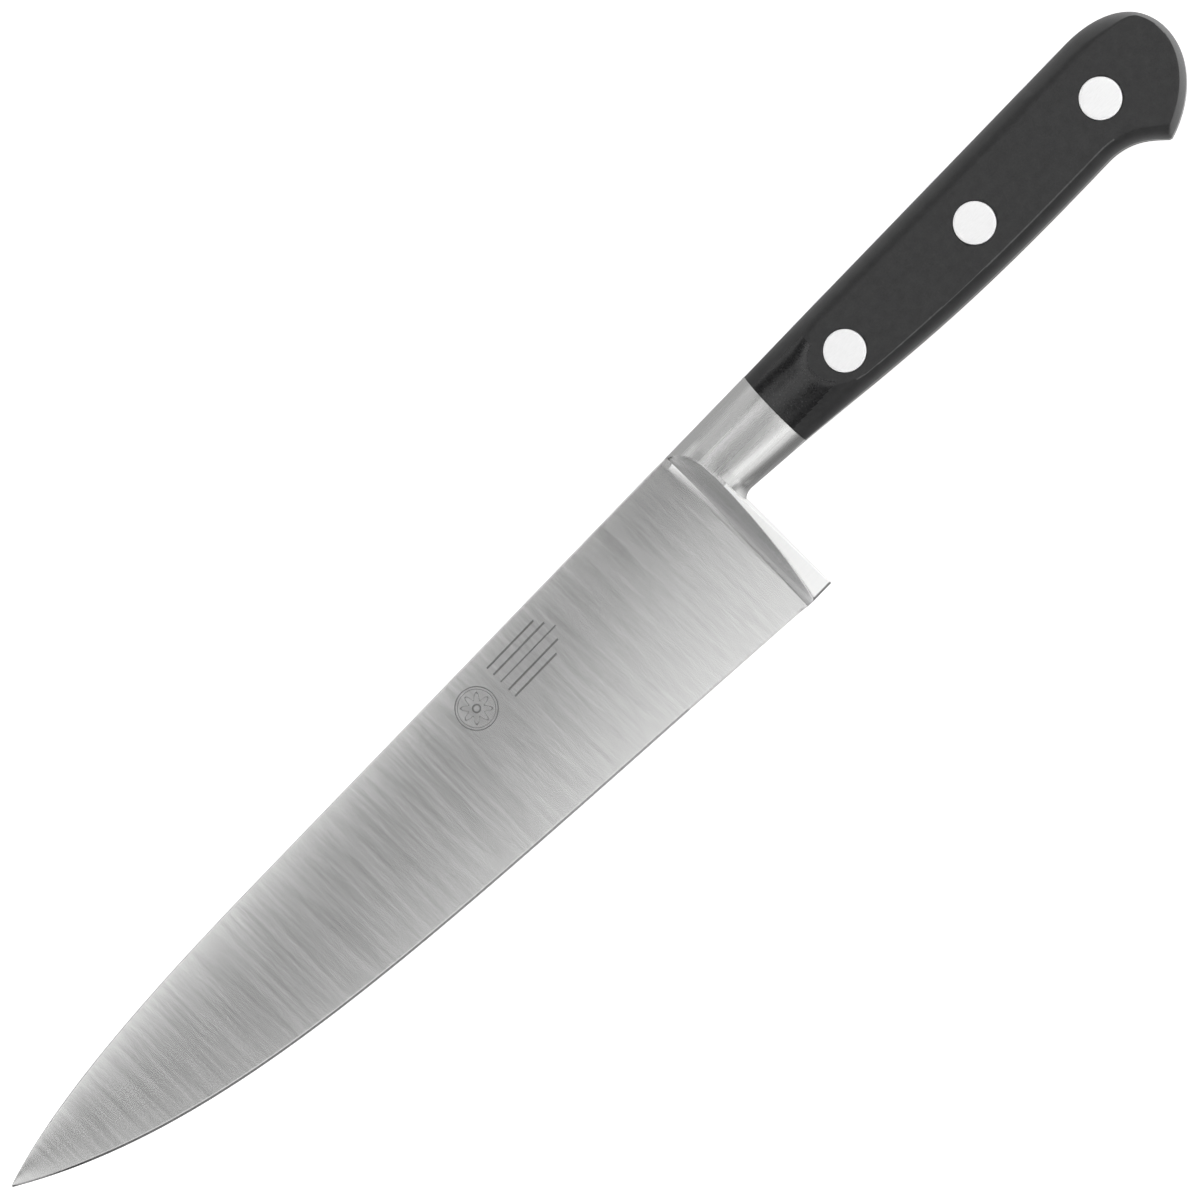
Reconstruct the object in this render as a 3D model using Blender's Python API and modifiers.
"""Chef knife: one forging (blade, bolster, guard and full tang), two black scales
and three two-piece cutler's rivets.

The knife lies on its side. +X runs to the tip, +Y to the cutting edge and +Z
is up out of the side that is seen. Lengths below are in millimetres, measured
from the joint between scales and bolster (along X), from the line of the spine
(along Y) and from the middle plane of the blade (along Z).
"""
import math

import bmesh
import bpy
from mathutils import Vector

MM = 0.001
GAP = 0.3                      # free space between neighbouring pieces

# lengths along the knife
BUTT_X = -106.5                # rearmost point of the handle
BUTT_Y = 11.8                  # height at which the butt is rearmost
GUARD_BACK_X = 16.85           # rear face of the finger guard
FACE_START_X = 23.3            # line where the ground blade face begins
TIP_X = 216.8
TIP_Y = 7.4
SPINE_DROP_X = 140.6           # from here the spine bends down to the tip
BEAK_X = -92.3                 # the butt's curve ends here, at the beak
BEAK_Y = 27.7

# widths and thicknesses
GUARD_BOTTOM_Y = 40.5
EDGE_START_Y = 40.35
BELLY_Y = 22.05                # lower side of the handle at its deepest
INTERFACE_Y = 17.45            # lower side of handle and bolster at their joint
HANDLE_HALF = 8.5              # half the distance between the two side flats
INTERFACE_HALF = 6.2           # half thickness of the oval bolster at the joint
PILLOW_HALF = 10.5             # half thickness the handle would have without flats
SWELL_LENGTH = 17.4            # the handle grows to full thickness over this length
SPINE_HALF_HEEL = 1.6          # half thickness of the spine at the guard
SPINE_HALF_TIP = 0.35
EDGE_HALF = 0.17               # half thickness just above the cutting bevel
BEVEL_WIDTH = 0.6
TANG_HALF = 1.5

# rivets
RIVET_CENTRES = ((-17.94, 11.39), (-53.41, 12.26), (-87.72, 13.02))
RIVET_NAMES = ("front", "middle", "rear")
RIVET_HEAD_R = 4.28
RIVET_HEAD_THICK = 1.8
BARREL_R = 2.4
BARREL_BORE_R = 1.6
PIN_R = 1.3
RIVET_SINK = 0.03              # heads stand this far below the flats
HOLE_PLAY = 0.22               # radial play of heads and barrel in their holes

SCALE_BLACK = (0.030, 0.030, 0.031, 1.0)
STEEL_GREY = (0.52, 0.52, 0.51, 1.0)
RIVET_BRIGHT = (0.86, 0.86, 0.85, 1.0)


# ---------------------------------------------------------------- outlines

def bezier(p0, p1, p2, p3, count):
    """Points of a cubic curve, ends included."""
    points = []
    for i in range(count + 1):
        t = i / count
        u = 1.0 - t
        weights = (u * u * u, 3 * u * u * t, 3 * u * t * t, t * t * t)
        x = sum(w * p[0] for w, p in zip(weights, (p0, p1, p2, p3)))
        y = sum(w * p[1] for w, p in zip(weights, (p0, p1, p2, p3)))
        points.append((x, y))
    return points


def height_at(curve, x):
    """Y of a curve whose X only grows, held level beyond its ends."""
    if x <= curve[0][0]:
        return curve[0][1]
    for (xa, ya), (xb, yb) in zip(curve, curve[1:]):
        if x <= xb:
            share = (x - xa) / max(xb - xa, 1e-9)
            return ya + (yb - ya) * share
    return curve[-1][1]


EDGE = bezier((FACE_START_X, EDGE_START_Y), (120.8, 32.65), (176.0, 31.7), (TIP_X, TIP_Y), 120)
SPINE = bezier((SPINE_DROP_X, 0.0), (175.6, 0.0), (200.9, 1.95), (TIP_X, 7.0), 80)
BELLY = ([(-96.0, 32.2)]
         + bezier((-90.2, 26.5), (-88.3, 24.6), (-85.3, BELLY_Y), (-80.0, BELLY_Y), 24)
         + bezier((-80.0, BELLY_Y), (-37.7, 22.5), (-27.5, 20.1), (0.0, INTERFACE_Y), 40)[1:]
         + [(12.0, 16.35)])
BUTT = (bezier((-90.4, 0.1), (-100.7, 0.1), (BUTT_X, 4.9), (BUTT_X, BUTT_Y), 22)
        + bezier((BUTT_X, BUTT_Y), (BUTT_X, 19.95), (-98.9, 25.75), (BEAK_X, BEAK_Y), 26)[1:])


# ---------------------------------------------------------------- helpers

def new_collection(name):
    collection = bpy.data.collections.new(name)
    bpy.context.scene.collection.children.link(collection)
    return collection


def principled(name, colour, roughness, metallic):
    material = bpy.data.materials.new(name)
    material.use_nodes = True
    shader = material.node_tree.nodes["Principled BSDF"]
    shader.inputs["Base Color"].default_value = colour
    shader.inputs["Roughness"].default_value = roughness
    shader.inputs["Metallic"].default_value = metallic
    material.diffuse_color = colour
    return material


def add_mesh_object(name, bm, collection, parent, material=None):
    bmesh.ops.recalc_face_normals(bm, faces=bm.faces[:])
    mesh = bpy.data.meshes.new(name)
    bm.to_mesh(mesh)
    bm.free()
    obj = bpy.data.objects.new(name, mesh)
    collection.objects.link(obj)
    obj.parent = parent
    if material is not None:
        mesh.materials.append(material)
    return obj


def loft(rings):
    """Closed solid through rings of equal length, with flat ends. Input in mm."""
    bm = bmesh.new()
    loops = []
    for ring in rings:
        loops.append([bm.verts.new(Vector(p) * MM) for p in ring])
    for low, high in zip(loops, loops[1:]):
        for i in range(len(low)):
            j = (i + 1) % len(low)
            bm.faces.new((low[i], low[j], high[j], high[i]))
    bm.faces.new(loops[0][::-1])
    bm.faces.new(loops[-1])
    return bm


def as_cutter(obj):
    obj.hide_render = True
    obj.display_type = 'WIRE'


def boolean(obj, other, operation):
    modifier = obj.modifiers.new(operation.title(), 'BOOLEAN')
    modifier.operation = operation
    modifier.solver = 'EXACT'
    modifier.object = other


def spread(start, stop, count):
    return [start + (stop - start) * i / (count - 1) for i in range(count)]


# ---------------------------------------------------------------- forging

def spine_half(x):
    """Half thickness of the blade along its spine (distal taper)."""
    share = min(max((x - FACE_START_X) / (TIP_X - FACE_START_X), 0.0), 1.0)
    return SPINE_HALF_TIP + (SPINE_HALF_HEEL - SPINE_HALF_TIP) * (1.0 - share) ** 0.9


def face_half(x, share):
    """Half thickness of the slightly convex face, share 0 at spine and 1 at edge."""
    share = min(max(share, 0.0), 1.0)
    return EDGE_HALF + (spine_half(x) - EDGE_HALF) * (1.0 - share ** 1.35)


def blade_section(x):
    top = height_at(SPINE, x)
    low = height_at(EDGE, x)
    deep = low - top
    bevel = min(BEVEL_WIDTH, deep * 0.35)
    corner = min(0.3, deep * 0.15)
    half = []
    half.append((top, max(face_half(x, 0.0) - 0.3, 0.04)))
    for share in (0.0, 0.2, 0.4, 0.6, 0.8, 1.0):
        y = top + corner + (deep - corner - bevel) * share
        half.append((y, face_half(x, share * (1.0 - bevel / deep))))
    half.append((low, 0.03))
    upper = [(x, y, z) for y, z in half]
    lower = [(x, y, -z) for y, z in reversed(half)]
    return upper + lower


def make_blade(collection, parent, material):
    stations = [19.5] + spread(FACE_START_X, 150.0, 17) + spread(156.0, 206.0, 14)
    stations = stations + spread(208.0, TIP_X, 7)
    rings = [blade_section(x) for x in stations]
    return add_mesh_object("forged_blade", loft(rings), collection, parent, material)


def oval(x, top, low, half, power, count=40, slant=0.0):
    """Superellipse ring standing across X, its face leaning by slant."""
    ring = []
    mid = (top + low) / 2
    for i in range(count):
        angle = 2 * math.pi * i / count
        c = math.cos(angle)
        s = math.sin(angle)
        y = mid + (low - top) / 2 * math.copysign(abs(c) ** (2 / power), c)
        z = half * math.copysign(abs(s) ** (2 / power), s)
        ring.append((x + slant * (y - mid), y, z))
    return ring


def make_bolster_blank(collection, parent):
    """Oval neck from the scales to the front of the guard."""
    rings = []
    for x in spread(0.0, 14.6, 8) + [15.4, 16.0, 16.5, 17.0, 18.0, 21.0, 23.9]:
        share = min(x / 14.6, 1.0)
        low = INTERFACE_Y + 0.03 + (16.2 - INTERFACE_Y - 0.03) * share
        flare = max(x - 14.6, 0.0) / 2.2
        low = low + 0.8 * min(flare, 1.1) ** 2.2
        half = INTERFACE_HALF + 0.03 + 0.6 * min(x / 17.0, 1.0) ** 1.5
        slant = 0.032 * (1.0 - share)
        rings.append(oval(x, 0.0, low, half, 2.5, slant=slant))
    return add_mesh_object("bolster_blank", loft(rings), collection, parent)


def guard_half(y):
    share = min(max((y - 10.0) / (GUARD_BOTTOM_Y - 10.0), 0.0), 1.0)
    return 1.5 + 5.3 * (1.0 - share ** 1.6)


def make_guard_blank(collection, parent):
    """Finger guard: a bar that thins towards the heel, rounded at its rear."""
    rings = []
    for y in spread(8.0, GUARD_BOTTOM_Y, 12):
        half = guard_half(y) - max(10.0 - y, 0.0) * 0.8
        round_r = min(0.8, half * 0.45)
        ring = []
        for angle in spread(0.0, 90.0, 4):
            c = math.cos(math.radians(angle))
            s = math.sin(math.radians(angle))
            ring.append((GUARD_BACK_X + round_r * (1 - c), y, half - round_r * (1 - s)))
        ring.append((23.85, y, half))
        mirrored = [(px, py, -pz) for px, py, pz in reversed(ring)]
        rings.append(ring + mirrored)
    return add_mesh_object("guard_blank", loft(rings), collection, parent)


def make_cove_cutter(name, side, collection, parent):
    """Hollow between guard and blade face, swept down the face's own taper."""
    rings = []
    for y in spread(-2.5, 44.0, 16):
        floor = face_half(FACE_START_X, y / EDGE_START_Y)
        ring = [(30.0, y, floor - 0.1), (FACE_START_X + 0.3, y, floor - 0.1)]
        for reach in spread(0.0, 9.0, 10):
            rise = 0.6 * reach + 0.06 * reach * reach
            ring.append((FACE_START_X - reach, y, floor + rise))
        ring.append((FACE_START_X - 9.0, y, 16.0))
        ring.append((30.0, y, 16.0))
        rings.append([(px, py, side * pz) for px, py, pz in ring])
    cutter = add_mesh_object(name, loft(rings), collection, parent)
    as_cutter(cutter)
    return cutter


# ---------------------------------------------------------------- handle

def grip_section(x, slant):
    """Full cross section of the handle before its flats are cut."""
    top = 0.05
    low = height_at(BELLY, x)
    middle = min((top + low) / 2, (top + BELLY_Y) / 2)
    grown = min(max(-x / SWELL_LENGTH, -0.1), 1.0)
    half = INTERFACE_HALF + (PILLOW_HALF - INTERFACE_HALF) * grown
    blend = min(max(grown, 0.0), 1.0)
    top_power = 2.5 - 0.15 * blend
    low_power = 2.5 + 0.9 * blend
    ring = []
    count = 44
    for i in range(count):
        angle = 2 * math.pi * i / count
        c = math.cos(angle)
        s = math.sin(angle)
        power = top_power if c < 0 else low_power
        reach = (middle - top) if c < 0 else (low - middle)
        y = middle + reach * math.copysign(abs(c) ** (2 / power), c)
        z = half * math.copysign(abs(s) ** (2 / power), s)
        ring.append((x + slant * (y - 8.7), y, z))
    return ring


def make_grip_body(name, front_x, collection, parent, material=None):
    """Handle shape running from front_x back past the butt."""
    stations = [front_x, -1.5, -3.0, -5.0, -7.0, -9.0, -11.0, -13.0, -15.0, -SWELL_LENGTH]
    stations = stations + spread(-21.0, -79.0, 15)
    stations = stations + spread(-81.0, -91.0, 11) + [-93.0, -96.0, -112.0]
    rings = []
    for x in stations:
        slant = 0.032 * max(1.0 + x / 12.0, 0.0)
        rings.append(grip_section(x, slant))
    return add_mesh_object(name, loft(rings), collection, parent, material)


def make_butt_trimmer(collection, parent):
    """Solid that holds the whole handle; its rear wall is the rounded butt."""
    outline = [(30.0, -6.0), (-70.0, -1.6)]
    normals = [(0.0, 0.0), (0.0, 0.0)]
    for i, point in enumerate(BUTT):
        before = BUTT[max(i - 1, 0)]
        after = BUTT[min(i + 1, len(BUTT) - 1)]
        dx = after[0] - before[0]
        dy = after[1] - before[1]
        size = math.hypot(dx, dy)
        outline.append(point)
        normals.append((dy / size, -dx / size))
    outline = outline + [(-86.0, 29.6), (30.0, 44.0)]
    normals = normals + [(0.0, 0.0), (0.0, 0.0)]
    rings = []
    for z in (-10.0, -8.5, -7.0, -5.6, -4.0, -2.2, 0.0, 2.2, 4.0, 5.6, 7.0, 8.5, 10.0):
        draft = (abs(z) / HANDLE_HALF) ** 2.4
        ring = []
        for (px, py), (nx, ny) in zip(outline, normals):
            soft = min(max((6.0 - py) / 6.0, 0.0), 1.0)
            inset = (1.05 + 2.6 * soft * soft * (3.0 - 2.0 * soft)) * draft
            ring.append((px + nx * inset, py + ny * inset, z))
        rings.append(ring)
    trimmer = add_mesh_object("butt_trimmer", loft(rings), collection, parent)
    as_cutter(trimmer)
    return trimmer


def make_slab(name, z_low, z_high, collection, parent):
    bm = bmesh.new()
    bmesh.ops.create_cube(bm, size=1.0)
    size = Vector((160.0, 70.0, z_high - z_low)) * MM
    bmesh.ops.scale(bm, vec=size, verts=bm.verts[:])
    slab = add_mesh_object(name, bm, collection, parent)
    slab.location = Vector((-50.0, 15.0, (z_low + z_high) / 2)) * MM
    as_cutter(slab)
    return slab


def make_drill(name, centre, collection, parent):
    """Through hole for the rivet barrel with a counterbore at both sides."""
    barrel = BARREL_R + HOLE_PLAY
    head = RIVET_HEAD_R + HOLE_PLAY
    seat = HANDLE_HALF - RIVET_SINK - RIVET_HEAD_THICK - 0.2
    profile = [(0.0, 12.0), (head, 12.0), (head, seat), (barrel, seat),
               (barrel, -seat), (head, -seat), (head, -12.0), (0.0, -12.0)]
    return make_turned(name, profile, centre, collection, parent, 40, True)


def make_turned(name, profile, centre, collection, parent, steps, cutter, material=None):
    """Turned piece: a profile of (radius, z) spun round a line along Z."""
    mesh = bpy.data.meshes.new(name)
    points = [(r * MM, 0.0, z * MM) for r, z in profile]
    edges = [(i, i + 1) for i in range(len(points) - 1)]
    mesh.from_pydata(points, edges, [])
    obj = bpy.data.objects.new(name, mesh)
    collection.objects.link(obj)
    obj.parent = parent
    obj.location = Vector((centre[0], centre[1], 0.0)) * MM
    spin = obj.modifiers.new("Spin", 'SCREW')
    spin.axis = 'Z'
    spin.angle = 2 * math.pi
    spin.steps = steps
    spin.render_steps = steps
    spin.screw_offset = 0.0
    spin.use_merge_vertices = True
    spin.merge_threshold = 0.00001
    spin.use_smooth_shade = True
    if material is not None:
        mesh.materials.append(material)
    if cutter:
        as_cutter(obj)
    return obj


# ---------------------------------------------------------------- rivets

def make_rivet_male(name, centre, collection, parent, material):
    """Flat head with a solid pin, pressed in from the upper side."""
    top = HANDLE_HALF - RIVET_SINK
    under = top - RIVET_HEAD_THICK
    profile = [(0.0, top), (RIVET_HEAD_R - 0.12, top), (RIVET_HEAD_R, top - 0.12),
               (RIVET_HEAD_R, under), (PIN_R, under), (PIN_R, -4.6), (PIN_R - 0.4, -5.2),
               (0.0, -5.2)]
    return make_turned(name, profile, centre, collection, parent, 40, False, material)


def make_rivet_female(name, centre, collection, parent, material):
    """Flat head with a hollow barrel that takes the pin, from the lower side."""
    low = -(HANDLE_HALF - RIVET_SINK)
    under = low + RIVET_HEAD_THICK
    mouth = 6.2
    profile = [(0.0, -5.8), (BARREL_BORE_R, -5.8), (BARREL_BORE_R, mouth), (BARREL_R, mouth),
               (BARREL_R, under), (RIVET_HEAD_R, under), (RIVET_HEAD_R, low + 0.12),
               (RIVET_HEAD_R - 0.12, low), (0.0, low)]
    return make_turned(name, profile, centre, collection, parent, 40, False, material)


# ---------------------------------------------------------------- build

def smooth(obj, degrees):
    obj.data.shade_smooth()
    obj.data.set_sharp_from_angle(angle=math.radians(degrees))


def main():
    for obj in list(bpy.data.objects):
        bpy.data.objects.remove(obj, do_unlink=True)

    parts = new_collection("Chef knife")
    cutters = new_collection("Chef knife cutters")

    frame = bpy.data.objects.new("knife_frame", None)
    parts.objects.link(frame)
    frame.location = Vector((-(TIP_X + BUTT_X) / 2, -GUARD_BOTTOM_Y / 2, HANDLE_HALF)) * MM

    steel = principled("blade_steel", STEEL_GREY, 0.32, 1.0)
    black = principled("scale_black", SCALE_BLACK, 0.55, 0.0)
    bright = principled("rivet_alloy", RIVET_BRIGHT, 0.30, 1.0)

    trimmer = make_butt_trimmer(cutters, frame)
    drills = []
    for place, centre in zip(RIVET_NAMES, RIVET_CENTRES):
        drills.append(make_drill("drill_" + place, centre, cutters, frame))

    neck = make_bolster_blank(cutters, frame)
    as_cutter(neck)
    guard = make_guard_blank(cutters, frame)
    as_cutter(guard)
    boolean(neck, guard, 'UNION')
    boolean(neck, make_cove_cutter("cove_cutter_upper", 1.0, cutters, frame), 'DIFFERENCE')
    boolean(neck, make_cove_cutter("cove_cutter_lower", -1.0, cutters, frame), 'DIFFERENCE')

    tang = make_grip_body("tang_blank", 1.2, cutters, frame)
    as_cutter(tang)
    boolean(tang, make_slab("tang_slab", -TANG_HALF, TANG_HALF, cutters, frame), 'INTERSECT')
    boolean(tang, trimmer, 'INTERSECT')

    forging = make_blade(parts, frame, steel)
    boolean(forging, neck, 'UNION')
    boolean(forging, tang, 'UNION')
    for drill in drills:
        boolean(forging, drill, 'DIFFERENCE')
    smooth(forging, 30)

    low = TANG_HALF + GAP
    for name, z_low, z_high in (("scale_left", low, HANDLE_HALF),
                                ("scale_right", -HANDLE_HALF, -low)):
        scale = make_grip_body(name, -GAP, parts, frame, black)
        boolean(scale, make_slab(name + "_slab", z_low, z_high, cutters, frame), 'INTERSECT')
        boolean(scale, trimmer, 'INTERSECT')
        for drill in drills:
            boolean(scale, drill, 'DIFFERENCE')
        smooth(scale, 30)

    for place, centre in zip(RIVET_NAMES, RIVET_CENTRES):
        make_rivet_male("rivet_male_" + place, centre, parts, frame, bright)
        make_rivet_female("rivet_female_" + place, centre, parts, frame, bright)


main()
